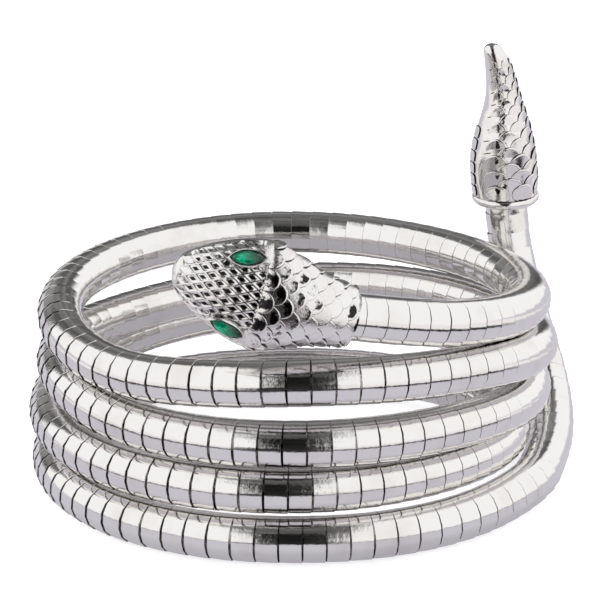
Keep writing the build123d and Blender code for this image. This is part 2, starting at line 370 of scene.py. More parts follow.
def silverMaterial(name, roughFrom, roughTo, dentDepth, hairStrength, hasPaintedShade):
    s = silverSet
    material, nodes, shader = newMaterial(name, {"Metallic": 1.0})
    maths = nodeTools(nodes)[0]
    place = addNode(nodes, "TexCoord").outputs["Object"]
    patches = addNode(nodes, "TexNoise", {"Vector": place, **s["patches"]}).outputs["Fac"]
    color = addRamp(nodes, patches, list(zip(s["patchRange"], (s["color"], s["tarnish"]))))
    dents = addNode(nodes, "TexNoise", {"Vector": place, **s["dents"]}).outputs["Fac"]
    if hasPaintedShade:
        # the marked places are darkened with painted shade and painted dark reflections, with a ragged
        # edge
        paintedShading = addNode(nodes, "Attribute")
        paintedShading.attribute_name = "paintedShading"
        ragged = maths("MULTIPLY_ADD", dents, s["ragged"], paintedShading.outputs["Fac"])
        low, high = s["paintedShadeRange"]
        edge = addNode(nodes, "MapRange", {"Value": ragged, "From Min": low, "From Max": high})
        color = mixColor(nodes, edge.outputs["Result"], color, (*s["paintedShadeColor"], 1))
    # the hairlines show in the roughness and the bump
    stretch = addNode(nodes, "Mapping", {"Vector": place, "Scale": s["hairStretch"]}).outputs["Vector"]
    hairs = addNode(nodes, "TexNoise", {"Vector": stretch, **s["hairs"]}).outputs["Fac"]
    low, high = s["hairRange"]
    roughness = addNode(nodes, "MapRange", {
        "Value": hairs, "From Min": low, "From Max": high, "To Min": roughFrom, "To Max": roughTo})
    dentBump = addNode(nodes, "Bump", {
        "Height": dents, "Strength": s["dentStrength"], "Distance": dentDepth * mm})
    hairBump = addNode(nodes, "Bump", {
        "Height": hairs, "Strength": hairStrength, "Distance": s["hairDepth"] * mm,
        "Normal": dentBump.outputs["Normal"]})
    feed(shader.inputs["Base Color"], color)
    feed(shader.inputs["Roughness"], roughness.outputs["Result"])
    feed(shader.inputs["Normal"], hairBump.outputs["Normal"])
    return material


ringSilver = silverMaterial("ringSilver", *silverSet["rings"], False)
castSilver = silverMaterial("castSilver", *silverSet["cast"], True)
tailSilver = silverMaterial("tailSilver", *silverSet["tail"], True)

print("coil of rings")

ringSet = {
    "pitch": 3.0 * mm,
    "sides": 14,
    # how far along, and radius, from the tucked shoulder to the turned-in lip
    "profile": [(0.005, 3.09), (0.018, 3.145), (1.30, 3.185), (2.97, 3.19), (2.992, 3.125)],
    # corners sharper than this, in degrees, stay sharp
    "smoothAngle": 32,
    # plain ends of the route, and points of the line for each of the route's
    "endMargin": 1.0 * mm,
    "lineSteps": 24,
}

coilPoints = coilRoute()
coilLine = smoothLine(coilPoints, ringSet["lineSteps"])
ringStations, coilLength = stationsAlong(coilLine, ringSet["pitch"], ringSet["endMargin"])
ring = makeLoopPiece(ringSet["sides"], ringSet["profile"], mm)
smoothByAngle(ringSet["smoothAngle"])
rings = []
for place, forward, side in ringStations[:-1]:
    rings.append(copyPiece(ring, axesMatrix(side, side.cross(forward), forward, place)))
dropPiece(ring)
coilRings = joinPieces(rings, "coilRings")
setMaterial(coilRings, ringSilver)
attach(coilRings, "root")
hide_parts("coil_body")
print("rings", len(rings), "length", round(coilLength / mm, 1), "faces", len(coilRings.data.polygons))

print("head")

# sections from the neck to the nose: share of the length, neck, width, top, bottom, squareness
headSet = {
    "length": 23.8,
    "width": 14.4,
    "height": 10.4,
    "bendRadius": 56.0,
    "lean": 3.0,
    "pitch": 5.8,
    "neckRadius": 3.8,
    "socketDepth": 5.5,
    "noseRound": 0.03,
    "sections": [
        (0.00, 1.00, 0.00, 0.00, 0.00, 2.0),
        (0.09, 0.75, 0.18, 0.28, 0.22, 2.0),
        (0.21, 0.45, 0.43, 0.60, 0.46, 2.0),
        (0.33, 0.20, 0.71, 0.85, 0.63, 2.1),
        (0.44, 0.05, 0.92, 0.98, 0.71, 2.1),
        (0.53, 0.00, 1.00, 0.99, 0.69, 2.1),
        (0.66, 0.00, 0.90, 0.91, 0.59, 2.1),
        (0.78, 0.00, 0.73, 0.78, 0.48, 2.1),
        (0.88, 0.00, 0.54, 0.59, 0.36, 2.1),
        (0.96, 0.00, 0.34, 0.38, 0.25, 2.0),
        (1.00, 0.00, 0.17, 0.17, 0.10, 2.0),
    ],
    # sections, and points of a half section, that the sheets are wrapped over
    "tableSize": (96, 48),
    "shellGrid": (90, 96),
    # the lattice on the snout: cells, half diagonals of one, border to the jaw
    "latticeCells": 22,
    "latticeStart": 12.1,
    "latticeEnd": 22.7,
    "latticeHalf": (1.125, 0.665),
    "latticeMargin": 1.25,
    # up to this length it ends this far across, between the eyes
    "browEnd": 13.4,
    "browSide": 4.7,
    # how much smaller the lattice and the sunk skin under it are: start, end, brow end and side, jaw
    "latticeBorder": (0.6, 0.5, 0.5, 0.4, 0.3),
    "sinkBorder": (-0.2, 0.0, 0.0, 0.0, 0.0),
    "sinkDepth": 0.42,
    "skirt": 0.75,
    # a ridge, the step beside it, the slope's width and depth, and the pit
    "ridgeHalf": 0.06,
    "ridgeStep": 0.04,
    "ridgeHeight": 0.07,
    "slope": (0.22, 0.05),
    "pitDepth": 0.04,
    # painted shade: darkness of the floors, what the place between the eyes adds, of the steps and of
    # the slopes
    "floorShade": 0.35,
    "eyesShade": 0.75,
    "stepShade": 0.75,
    "slopeShade": (0.34, 0.1),
    # between the eyes: middle and half across with its fade, end along with its fade
    "eyesAcross": (-0.2, 2.6, 2.2),
    "eyesAlong": (20.0, 2.0),
    # the scales behind it: the first row, pitch across and along, half length and half width of one
    "scaleRows": 11,
    "scaleColumns": 4,
    "firstScale": 12.3,
    "scaleAcross": 2.95,
    "scaleRow": 1.17,
    "scaleHalf": (1.62, 1.50),
    "scaleTilt": 11.0,
    "scaleRise": 0.20,
    # how far they go past the widest line, and how far the rows beside the eyes stay from it
    "pastSide": 0.6,
    "eyeRows": (4, 1.0),
    # at the neck: up to this length, this size
    "neckScales": (2.5, 0.93),
    # uneven size, lift and turn
    "scaleWobble": (0.06, 0.02, 0.12),
    # painted shade and dark reflections in the hollows: strengths, then start, middle and half across
    # as shares of a scale
    "hollowShadeStrengths": (0.0, 0.56, 0.68, 0.84),
    "hollowShade": (0.02, 0.0, 0.62),
    "firstHollowShade": (0.8, -0.30, 0.0, 0.62),
    "firstHollowShadeSide": 4.0,
    # which strength: at the first row, less for a row, less for a millimetre from this line
    "hollowShadeFall": (3.9, 0.55, 0.42, -0.4),
    # the scale at the neck with painted dark: length, middle and half across, strength
    "neckHollowShade": (2.6, -0.6, 1.2, 3.2),
    # how steeply the first row goes in under the lattice
    "underLattice": 0.5,
    "eyePlace": 0.634,
    "eyeSpread": 0.70,
    "eyeStand": 0.40,
    "eyeLean": 36.0,
    "eyeTurn": 16.0,
}


def castFrame(end, inner, turn, lean):
    # place of a socket's mouth, direction to the free end, side and outer direction
    forward = (end - inner).normalized()
    mouth = end - forward * headSet["socketDepth"] * mm
    outwards = mouth - Vector(coilSet["axisPlace"])
    outwards.z = 0
    outwards = Matrix.Rotation(math.radians(turn), 3, "Z") @ outwards.normalized()
    leaning = outwards * math.cos(math.radians(lean)) + Vector((0, 0, math.sin(math.radians(lean))))
    up = (leaning - forward * leaning.dot(forward)).normalized()
    return mouth, forward, up.cross(forward), up


def pitchFrame(frame, degrees):
    place, forward, side, up = frame
    angle = math.radians(degrees)
    turned = forward * math.cos(angle) - side * math.sin(angle)
    return place, turned, up.cross(turned), up


def headSize(share):
    # half width, top and bottom of a section, and its squareness
    s = headSet
    neck = alongTable(s["sections"], share, 1) * s["neckRadius"]
    halfWidth = neck + alongTable(s["sections"], share, 2) * s["width"] / 2
    top = neck + alongTable(s["sections"], share, 3) * s["height"] / 2
    bottom = neck + alongTable(s["sections"], share, 4) * s["height"] / 2
    return halfWidth, top, bottom, alongTable(s["sections"], share, 5)


def headAxis(frame, share):
    # the head's axis bends down towards the nose
    place, forward, side, up = frame
    bend = headSet["bendRadius"]
    angle = share * headSet["length"] / bend
    centre = place + (forward * math.sin(angle) - up * (1 - math.cos(angle))) * bend * mm
    ahead = forward * math.cos(angle) - up * math.sin(angle)
    above = forward * math.sin(angle) + up * math.cos(angle)
    return centre, ahead, above.cross(ahead), above


def headTable(frame, rows, steps):
    # half outlines from the top's middle round one side to the bottom's middle
    table = []
    for i in range(rows + 1):
        share = i / rows
        halfWidth, top, bottom, squareness = headSize(share)
        nose = max(0.0, (share - 1 + headSet["noseRound"]) / headSet["noseRound"])
        shrink = math.sqrt(max(0.0, 1 - nose**2))
        outline = []
        length = 0.0
        for k in range(steps + 1):
            angle = math.pi / 2 - math.pi * k / steps
            power = 2 / squareness
            side = max(0.0, math.cos(angle)) ** power * halfWidth * shrink
            reach = top if angle > 0 else bottom
            height = math.copysign(abs(math.sin(angle)) ** power, angle) * reach * shrink
            if outline:
                length += math.hypot(side - outline[-1][0], height - outline[-1][1])
            outline.append((side, height, length))
        table.append((headAxis(frame, share), outline))
    return table


def outlineSpot(row, across):
    # a point on one section, so far round from the top's middle
    (centre, ahead, side, above), outline = row
    target = min(abs(across), outline[-1][2])
    low = 0
    high = len(outline) - 1
    while high - low > 1:
        middle = (low + high) // 2
        if outline[middle][2] > target:
            high = middle
        else:
            low = middle
    a = outline[low]
    b = outline[high]
    t = (target - a[2]) / max(b[2] - a[2], 1e-9)
    sideways = (a[0] + (b[0] - a[0]) * t) * (1 if across >= 0 else -1)
    height = a[1] + (b[1] - a[1]) * t
    return centre + (side * sideways + above * height) * mm


def headRow(u):
    # the place among the sections for a length from the neck
    return min(max(u / headSet["length"], 0.0), 1.0) * (len(headRows) - 1)


def sideLength(u):
    # how far round the widest line of the head lies
    outline = headRows[round(headRow(u))][1]
    return outline[len(outline) // 2][2]


def wholeLength(u):
    return headRows[round(headRow(u))][1][-1][2]


def headSpot(u, w, rise):
    # so far from the neck, so far round from the top, so high over the skin
    place = headRow(u)
    last = len(headRows) - 1
    i = min(int(place), last - 1)
    here = outlineSpot(headRows[i], w).lerp(outlineSpot(headRows[i + 1], w), place - i)
    if rise == 0:
        return here
    low = headRows[max(i - 1, 0)]
    high = headRows[min(i + 2, last)]
    ahead = outlineSpot(high, w) - outlineSpot(low, w)
    across = outlineSpot(headRows[i], w + 0.25) - outlineSpot(headRows[i], w - 0.25)
    return here + ahead.cross(across).normalized() * rise * mm


def wrapPiece(piece, spot):
    # bends a flat sheet, x along, y across and z up, over a body
    for v in piece.data.vertices:
        v.co = spot(v.co.x, v.co.y, v.co.z)


def markPaintedShading(piece, shade):
    # painted light and shade for each corner of a face, from its own place and the face's middle
    layer = piece.data.attributes.new("paintedShading", "FLOAT", "CORNER")
    for face in piece.data.polygons:
        for corner in face.loop_indices:
            place = piece.data.vertices[piece.data.loops[corner].vertex_index].co
            layer.data[corner].value = shade(place, face.center)


def selectFaces(piece, wanted):
    bpy.ops.object.mode_set(mode="EDIT")
    bpy.ops.mesh.select_mode(type="FACE")
    bpy.ops.mesh.select_all(action="DESELECT")
    bpy.ops.object.mode_set(mode="OBJECT")
    for face in piece.data.polygons:
        face.select = wanted(face.center)
    bpy.ops.object.mode_set(mode="EDIT")


def inLattice(u, w, border):
    s = headSet
    start, end, browEnd, browSide, side = border
    inLength = s["latticeStart"] + start < u < s["latticeEnd"] - end
    pastBrow = u > s["browEnd"] + browEnd or abs(w) < s["browSide"] - browSide
    return inLength and pastBrow and abs(w) < sideLength(u) - s["latticeMargin"] - side


def makeSkin(rows, columns, spot):
    # a flat grid wrapped over a body, closed where its edges meet
    deselectAll()
    bpy.ops.mesh.primitive_grid_add(x_subdivisions=rows, y_subdivisions=columns, size=2)
    skin = bpy.context.object
    markPaintedShading(skin, lambda place, middle: 0.0)
    wrapPiece(skin, spot)
    startEdit()
    endEdit(weldDistance)
    return skin


def makeHeadShell():
    s = headSet

    def shellSpot(x, y, z):
        # the skin sinks under the lattice
        u = (x + 1) / 2 * s["length"]
        w = y * wholeLength(u)
        return headSpot(u, w, -s["sinkDepth"] if inLattice(u, w, s["sinkBorder"]) else 0.0)

    shell = makeSkin(*s["shellGrid"], shellSpot)
    smoothByAngle(40)
    return shell


def cellMiddle(place):
    # the middle of the lattice's cell that a place of the flat sheet is in
    s = headSet
    halfLong, halfAcross = s["latticeHalf"]
    start = (s["latticeStart"] + s["latticeEnd"]) / 2
    a = (place.x - start) / halfLong
    b = place.y / halfAcross
    i = round(a)
    j = round(b)
    if (i + j) % 2 == 0:
        if abs(a - i) > abs(b - j):
            i += 1 if a > i else -1
        else:
            j += 1 if b > j else -1
    return start + i * halfLong, j * halfAcross


def pitShade(place, middle):
    # painted shade and dark reflections: dark floors in the cells between the eyes, and a painted
    # shadow line under each long ridge
    s = headSet
    if middle.z > -0.1 * s["ridgeHeight"]:
        return 0.0
    x, y = cellMiddle(middle)
    centre, half, fade = s["eyesAcross"]
    end, endFade = s["eyesAlong"]
    between = max(0.0, 1 - max(0.0, abs(y - centre) - half) / fade)
    between = between * max(0.0, 1 - max(0.0, x - end) / endFade)
    if middle.z < -s["ridgeHeight"] - s["slope"][1] - 0.2 * s["pitDepth"]:
        return s["floorShade"] + s["eyesShade"] * between
    behind = middle.x < x
    if middle.z > -s["ridgeHeight"]:
        return s["stepShade"] if behind and middle.y < y else 0.0
    return s["slopeShade"][0 if behind and middle.y > y else 1]


def makeLattice():
    s = headSet
    cells = s["latticeCells"]
    halfLong, halfAcross = s["latticeHalf"]
    deselectAll()
    bpy.ops.mesh.primitive_grid_add(
        x_subdivisions=cells, y_subdivisions=cells, size=cells, rotation=(0, 0, math.pi / 4))
    lattice = bpy.context.object
    applyPlace()
    startEdit()
    share = math.sqrt(2)
    bpy.ops.transform.resize(value=(halfLong * share, halfAcross * share, 1), center_override=(0, 0, 0))
    bpy.ops.transform.translate(value=((s["latticeStart"] + s["latticeEnd"]) / 2, 0, 0))
    bpy.ops.object.mode_set(mode="OBJECT")
    selectFaces(lattice, lambda place: not inLattice(place.x, place.y, s["latticeBorder"]))
    bpy.ops.mesh.delete(type="FACE")
    # a skirt goes down into the head all round
    bpy.ops.mesh.select_all(action="SELECT")
    bpy.ops.mesh.region_to_loop()
    extrudeUp(-s["skirt"])
    bpy.ops.object.mode_set(mode="OBJECT")
    # the ridges stay at the top, and each cell steps down and slopes to a pit
    selectFaces(lattice, lambda place: place.z > -0.05)
    for width, depth in ((s["ridgeHalf"], 0), (s["ridgeStep"], s["ridgeHeight"]), s["slope"]):
        bpy.ops.mesh.inset(thickness=width, depth=-depth, use_individual=True)
    bpy.ops.mesh.poke(offset=-s["pitDepth"])
    endEdit()
    markPaintedShading(lattice, pitShade)
    wrapPiece(lattice, headSpot)
    smoothByAngle(50)
    return lattice


tileSet = {
    "sides": 16,
    "base": -0.55,
    # share of the rise and of the outline, from the skin over the lip to the middle
    "lip": [(0.0, 1.0), (0.8, 0.985), (1.0, 0.93), (0.90, 0.80), (0.74, 0.55), (0.70, 0.28)],
    # the gap round it gets painted shade up to this share of the rise
    "gapShadeShare": 0.45,
    # painted dark in a hollow: its reach to the outline, its soft sides, how steeply it fades outwards,
    # along, across
    "hollowShadeReach": 0.9,
    "hollowShadeSoft": 0.12,
    "hollowShadeFade": (10, 2.8, 4),
}


def makeScaleTile(halfLength, halfWidth, rise, tilt, dark=None, square=1.0):
    # one scale with a raised lip, its free edge towards -x for a positive tilt
    s = tileSet
    deselectAll()
    bpy.ops.mesh.primitive_circle_add(vertices=s["sides"], radius=1, location=(0, 0, s["base"]))
    tile = bpy.context.object
    applyPlace()
    for v in tile.data.vertices:
        v.co.x = math.copysign(abs(v.co.x) ** square, v.co.x)
        v.co.y = math.copysign(abs(v.co.y) ** square, v.co.y)
    startEdit()
    bpy.ops.transform.resize(value=(halfLength, halfWidth, 1), center_override=(0, 0, 0))
    drawLoops([(s["base"], 1.0)] + [(height * rise, share) for height, share in s["lip"]])
    bpy.ops.mesh.edge_face_add()
    bpy.ops.mesh.poke()
    endEdit()
    bpy.ops.object.shade_smooth()
    freeEnd = -1 if tilt > 0 else 1

    def tileShade(place, middle):
        # painted shade in the gap round it, and painted shade and dark reflection in a hollow behind
        # the lip of a dark one
        if middle.z < rise * s["gapShadeShare"]:
            return 1.0
        if not dark:
            return 0.0
        strength, start, acrossMiddle, acrossHalf = dark
        along = place.x / halfLength * freeEnd
        across = place.y / halfWidth
        outwards, lengthways, sideways = s["hollowShadeFade"]
        parts = (
            outwards * (s["hollowShadeReach"] - math.hypot(along, across)),
            lengthways * (along - start),
            sideways * (acrossHalf + s["hollowShadeSoft"] - abs(across - acrossMiddle)),
        )
        return strength * math.prod(max(0.0, min(1.0, part)) for part in parts)

    markPaintedShading(tile, tileShade)
    # the covered end sinks, the free end stands up
    for v in tile.data.vertices:
        v.co.z -= v.co.x * math.tan(math.radians(tilt))
    return tile


def hollowShadeLevel(row, u, w):
    # the hollows with painted dark are fewer and fainter towards the neck and the sides
    first, rowFall, sideFall, line = headSet["hollowShadeFall"]
    neck, middle, half, depth = headSet["neckHollowShade"]
    if u < neck and abs(w - middle) < half:
        return depth
    return first - rowFall * row - sideFall * abs(w - line)


def makeHeadScales():
    s = headSet
    body = (*s["scaleHalf"], s["scaleRise"], s["scaleTilt"])
    # scales with painted shade and dark reflections of each strength in their hollows
    shapes = [makeScaleTile(*body, (strength, *s["hollowShade"])) for strength in s["hollowShadeStrengths"]]
    firstShape = makeScaleTile(*body, s["firstHollowShade"])
    eyeRows, eyeGap = s["eyeRows"]
    neckEnd, neckSize = s["neckScales"]
    unevenSize, unevenLift, unevenTurn = s["scaleWobble"]
    tiles = []
    for row in range(s["scaleRows"]):
        u = s["firstScale"] - row * s["scaleRow"]
        side = sideLength(u)
        for column in range(-s["scaleColumns"], s["scaleColumns"] + 1):
            w = (column + 0.5 * (row % 2)) * s["scaleAcross"]
            if abs(w) > side + s["pastSide"] or (row < eyeRows and abs(w) > side - eyeGap):
                continue
            wobble = noise.noise(Vector((u, w, 0.3)))
            size = (1 + unevenSize * wobble) * (neckSize if u < neckEnd else 1)
            place = Matrix.Translation((u, w, unevenLift * wobble))
            place = place @ Matrix.Rotation(unevenTurn * wobble, 4, "Z") @ Matrix.Scale(size, 4)
            shape = shapes[max(0, min(3, round(hollowShadeLevel(row, u, w))))]
            if row == 0 and abs(w) < s["firstHollowShadeSide"]:
                shape = firstShape
            scale = copyPiece(shape, place)
            if row == 0:
                # the first row goes in under the lattice
                for v in scale.data.vertices:
                    v.co.z -= s["underLattice"] * max(0.0, v.co.x - s["latticeStart"] + 0.1)
            wrapPiece(scale, headSpot)
            tiles.append(scale)
    for shape in (*shapes, firstShape):
        dropPiece(shape)
    return joinPieces(tiles, "headScales")


headSocket = castFrame(coilPoints[0], coilPoints[1], 0, headSet["lean"])
headFrame = pitchFrame(headSocket, headSet["pitch"])
headRows = headTable(headFrame, *headSet["tableSize"])


def eyeFrame(mirror):
    s = headSet
    centre, ahead, side, above = headAxis(headFrame, s["eyePlace"])
    halfWidth, top = headSize(s["eyePlace"])[:2]
    height = top * math.sqrt(1 - s["eyeSpread"] ** 2) + s["eyeStand"]
    lean = math.radians(s["eyeLean"])
    turn = math.radians(s["eyeTurn"])
    outwards = side * mirror
    normal = above * math.cos(lean) + outwards * math.sin(lean)
    across = outwards * math.cos(lean) - above * math.sin(lean)
    forward = ahead * math.cos(turn) - across * math.sin(turn)
    place = centre + (outwards * s["eyeSpread"] * halfWidth + above * height) * mm
    return axesMatrix(forward, normal.cross(forward), normal, place, mm)


stoneSet = {
    "length": 4.6,
    "width": 2.0,
    "sides": 24,
    # height and share of the outline, from the keel to the table
    "profile": [(-0.66, 0.16), (-0.30, 0.66), (0.0, 1.0), (0.22, 1.0), (0.50, 0.86), (0.78, 0.58)],
    "bezelSides": 32,
    # height and distance from the stone, from the outer foot over the edge to the dish
    "bezelProfile": [(-1.8, 0.30), (-0.1, 0.30), (0.17, 0.30), (0.29, 0.27), (0.34, 0.20),
                     (0.31, 0.13), (0.20, 0.08), (-0.72, 0.08)],
    "dishShade": 0.55,
    # painted light in the facets: at the painted highlight, its fall, each facet's own part, and the
    # painted dark rim
    "paintedHighlightSpot": (0.35, 0.2),
    "paintedBrightness": (0.95, 0.48, 0.25),
    "rimShade": (0.7, 0.5),
    # the stone's gloss, painted glints under the table, and the greens from dark to light
    "gloss": {"Roughness": 0.03, "IOR": 1.58, "Transmission Weight": 0.35},
    "paintedGlintScale": 3600,
    "paintedGlintShare": 0.22,
    "greens": [(0.30, (0.0, 0.022, 0.010)), (0.66, (0.0, 0.16, 0.08)), (1.0, (0.0, 0.60, 0.32))],
}


def ovalSpot(length, width, angle):
    # a pointed oval, by the same angle as on a circle
    half = length / 2
    radius = (half**2 + (width / 2) ** 2) / width
    x = math.cos(angle) * half
    y = math.sqrt(max(0.0, radius**2 - x**2)) - radius + width / 2
    return x, math.copysign(y, math.sin(angle))


def shapeLoop(piece, last, length, width):
    # the selected loop goes from its last length to a pointed oval
    bpy.ops.object.mode_set(mode="OBJECT")
    for v in piece.data.vertices:
        if v.select:
            angle = math.copysign(math.acos(max(-1.0, min(1.0, v.co.x / last))), v.co.y)
            v.co.x, v.co.y = ovalSpot(length, width, angle)
    bpy.ops.object.mode_set(mode="EDIT")


def ovalLoops(sides, loops):
    # a circle drawn up through pointed ovals of (height, length, width)
    deselectAll()
    bpy.ops.mesh.primitive_circle_add(vertices=sides, radius=1, location=(0, 0, 0))
    piece = bpy.context.object
    startEdit()
    bpy.ops.transform.translate(value=(0, 0, loops[0][0]))
    shapeLoop(piece, 1, loops[0][1], loops[0][2])
    for (lastHeight, lastLength, lastWidth), (height, length, width) in zip(loops, loops[1:]):
        extrudeUp(height - lastHeight)
        shapeLoop(piece, lastLength / 2, length, width)
    bpy.ops.mesh.edge_face_add()
    return piece


def makeStone():
    s = stoneSet
    loops = [(height, s["length"] * share, s["width"] * share) for height, share in s["profile"]]
    stone = ovalLoops(s["sides"], loops)
    # the keel is closed too
    bpy.ops.mesh.select_all(action="DESELECT")
    bpy.ops.object.mode_set(mode="OBJECT")
    for v in stone.data.vertices:
        v.select = v.co.z < loops[0][0] + 0.001
    bpy.ops.object.mode_set(mode="EDIT")
    bpy.ops.mesh.select_mode(type="VERT")
    bpy.ops.mesh.edge_face_add()
    endEdit(0.001)
    bpy.ops.object.shade_flat()
    half = s["length"] / 2

    def paintedFacetLight(place, middle):
        # painted highlight brightest towards the nose, painted shade at the rim, and each facet a
        # little different
        spotAlong, spotAcross = s["paintedHighlightSpot"]
        bright, fall, ownShare = s["paintedBrightness"]
        rimStart, rimFall = s["rimShade"]
        own = noise.noise(Vector((middle.x * 5, middle.y * 5, middle.z * 3)))
        along = place.x / half
        across = place.y / s["width"] * 2
        near = math.hypot((along - spotAlong) * 1.5, across - spotAcross)
        rim = max(0.0, math.hypot(along, across) - rimStart)
        return bright - fall * near + ownShare * own - rimFall * rim

    markPaintedShading(stone, paintedFacetLight)
    return stone


def makeBezel():
    # a thin wall round the stone with a rounded edge, and the dish under it
    s = stoneSet
    loops = [(height, s["length"] + 2 * margin * 1.5, s["width"] + 2 * margin)
             for height, margin in s["bezelProfile"]]
    bezel = ovalLoops(s["bezelSides"], loops)
    bpy.ops.mesh.poke()
    endEdit(0.001)
    smoothByAngle(50)
    # painted shade and dark reflection on the outer wall below the edge and in the dish
    markPaintedShading(bezel, lambda place, middle: s["dishShade"] if place.z < 0 else 0.0)
    return bezel


def stoneMaterial():
    s = stoneSet
    material, nodes, shader = newMaterial("greenStone", s["gloss"])
    maths = nodeTools(nodes)[0]
    paintedFacets = addNode(nodes, "Attribute")
    paintedFacets.attribute_name = "paintedShading"
    place = addNode(nodes, "TexCoord").outputs["Object"]
    paintedGlints = addNode(nodes, "TexVoronoi", {"Vector": place, "Scale": s["paintedGlintScale"]})
    split = addNode(nodes, "SeparateXYZ", {"Vector": paintedGlints.outputs["Color"]})
    light = maths("MULTIPLY_ADD", split.outputs["X"], s["paintedGlintShare"], paintedFacets.outputs["Fac"])
    feed(shader.inputs["Base Color"], addRamp(nodes, light, s["greens"]))
    return material


headParts = [makeHeadShell(), makeLattice(), makeHeadScales()]
bezel = makeBezel()
stone = makeStone()
greenStone = stoneMaterial()
for mirror, node in ((1, "eye_left"), (-1, "eye_right")):
    headParts.append(copyPiece(bezel, eyeFrame(mirror)))
    eyeStone = copyPiece(stone, eyeFrame(mirror))
    eyeStone.name = "stone" + node.split("_")[1].title()
    eyeStone.data.name = eyeStone.name
    setMaterial(eyeStone, greenStone)
    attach(eyeStone, "root")
    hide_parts(node)
dropPiece(bezel)
dropPiece(stone)
headCast = joinPieces(headParts, "headCast")
setMaterial(headCast, castSilver)
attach(headCast, "root")
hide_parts("head")
print("head faces", len(headCast.data.polygons))

print("tail")

# sections from the collar to the tip: share of the length, neck, thickness, curl to the belly
tailSet = {
    "length": 24.7,
    "width": 9.8,
    "sideShare": 0.94,
    "turn": -28.0,
    "collarHeight": 1.3,
    "tipRound": 0.045,
    "sections": [
        (0.00, 1.00, 0.20, 0.00),
        (0.11, 0.40, 0.68, 0.02),
        (0.22, 0.10, 0.90, 0.035),
        (0.32, 0.00, 0.93, 0.035),
        (0.44, 0.00, 0.80, 0.03),
        (0.52, 0.00, 0.69, 0.03),
        (0.60, 0.00, 0.58, 0.035),
        (0.69, 0.00, 0.49, 0.05),
        (0.79, 0.00, 0.43, 0.085),
        (0.88, 0.00, 0.37, 0.13),
        (0.96, 0.00, 0.29, 0.19),
        (1.00, 0.00, 0.21, 0.215),
    ],
    "shellGrid": (70, 64),
    # distance round the flat sheet for one radian
    "flatRadius": 4.6,
    # scales: columns and rows, degrees between columns, pitch of a column, half length and width, rise
    "columns": 11,
    "rows": 10,
    "columnDegrees": 24.0,
    "columnPitch": 2.35,
    "scaleHalf": (1.60, 1.82),
    "scaleRise": 0.22,
    "firstColumn": -28.0,
    "firstTip": 2.6,
    "lastScale": 20.4,
    # lower and upper scales: where they change, tilt and lift of each
    "upperStart": 6.5,
    "lowerPose": (6.0, -0.05),
    "upperPose": (8.5, -0.16),
    # uneven lift and turn, and where they get smaller, by how much for a millimetre
    "scaleWobble": (0.03, 0.1),
    "taper": (13, 0.03),
    # painted dark reflections in the hollows: strength, where they start, and middle and half width
    # across, as shares of a scale
    "hollowShade": (0.95, -0.05, -0.10, 0.17),
    "sideHollowShade": (0.95, -0.30, 0.45, 0.14),
    # belly plates: how many, the first, pitch, half length and width; rise, tilt, squareness; lift
    "bellyMiddle": -90.0,
    "bellyPlates": 6,
    "firstPlate": 0.9,
    "bellyPitch": 1.8,
    "bellyHalf": (0.87, 1.15),
    "plateShape": (0.12, -1.0, 0.5),
    "plateLift": 0.08,
    # short cuts beside the plates: how many, first and pitch, degrees from the middle, turn and size
    "grooves": 8,
    "groovePlace": (7.4, 1.75),
    "grooveDegrees": (44, 5),
    "grooveTurn": 0.25,
    "grooveSize": (0.16, 1.5, 0.015),
    "collarSides": 64,
    "collarShade": 0.8,
    # rolled collar: height and radius
    "collarProfile": [(0.5, 3.35), (0.0, 3.45), (0.0, 4.35), (0.12, 4.72), (0.42, 4.98), (0.85, 5.02),
                      (1.16, 4.88), (1.32, 4.62), (1.36, 4.2)],
}


def tailSkin(u, angle):
    # a point on the smooth tail, so far from the collar, at an angle from its side to its back
    s = tailSet
    body = s["length"] - s["collarHeight"]
    share = min(max(u / body, 0.0), 1.0)
    half = alongTable(s["sections"], share, 1) * headSet["neckRadius"]
    half += alongTable(s["sections"], share, 2) * s["width"] / 2
    tip = max(0.0, (share - 1 + s["tipRound"]) / s["tipRound"])
    half *= math.sqrt(max(0.0, 1 - tip**2))
    curl = alongTable(s["sections"], share, 3) * s["width"]
    place, forward, side, up = tailFrame
    across = side * half * s["sideShare"] * math.cos(angle) + up * (half * math.sin(angle) - curl)
    return place + (forward * (s["collarHeight"] + share * body) + across) * mm


def tailSpot(u, v, rise):
    # so far from the collar, so far round from the side, so high over the skin
    angle = -v / tailSet["flatRadius"]
    here = tailSkin(u, angle)
    if rise == 0:
        return here
    ahead = tailSkin(u + 0.2, angle) - tailSkin(u - 0.2, angle)
    across = tailSkin(u, angle - 0.05) - tailSkin(u, angle + 0.05)
    return here + ahead.cross(across).normalized() * rise * mm


def makeTailShell():
    s = tailSet
    body = s["length"] - s["collarHeight"]

    def shellSpot(x, y, z):
        return tailSpot((x + 1) / 2 * body, y * math.pi * s["flatRadius"], 0)

    shell = makeSkin(*s["shellGrid"], shellSpot)
    bpy.ops.object.shade_smooth()
    return shell


def makeGroove():
    # a short cut in the belly, as a thin sliver painted dark as its shade
    length, width, height = tailSet["grooveSize"]
    deselectAll()
    bpy.ops.mesh.primitive_circle_add(vertices=8, radius=0.5, fill_type="NGON", location=(0, 0, 0.02))
    groove = bpy.context.object
    applyPlace()
    startEdit()
    bpy.ops.transform.resize(value=(length, width, 1), center_override=(0, 0, 0))
    extrudeUp(height)
    endEdit()
    markPaintedShading(groove, lambda place, middle: 1.0)
    return groove


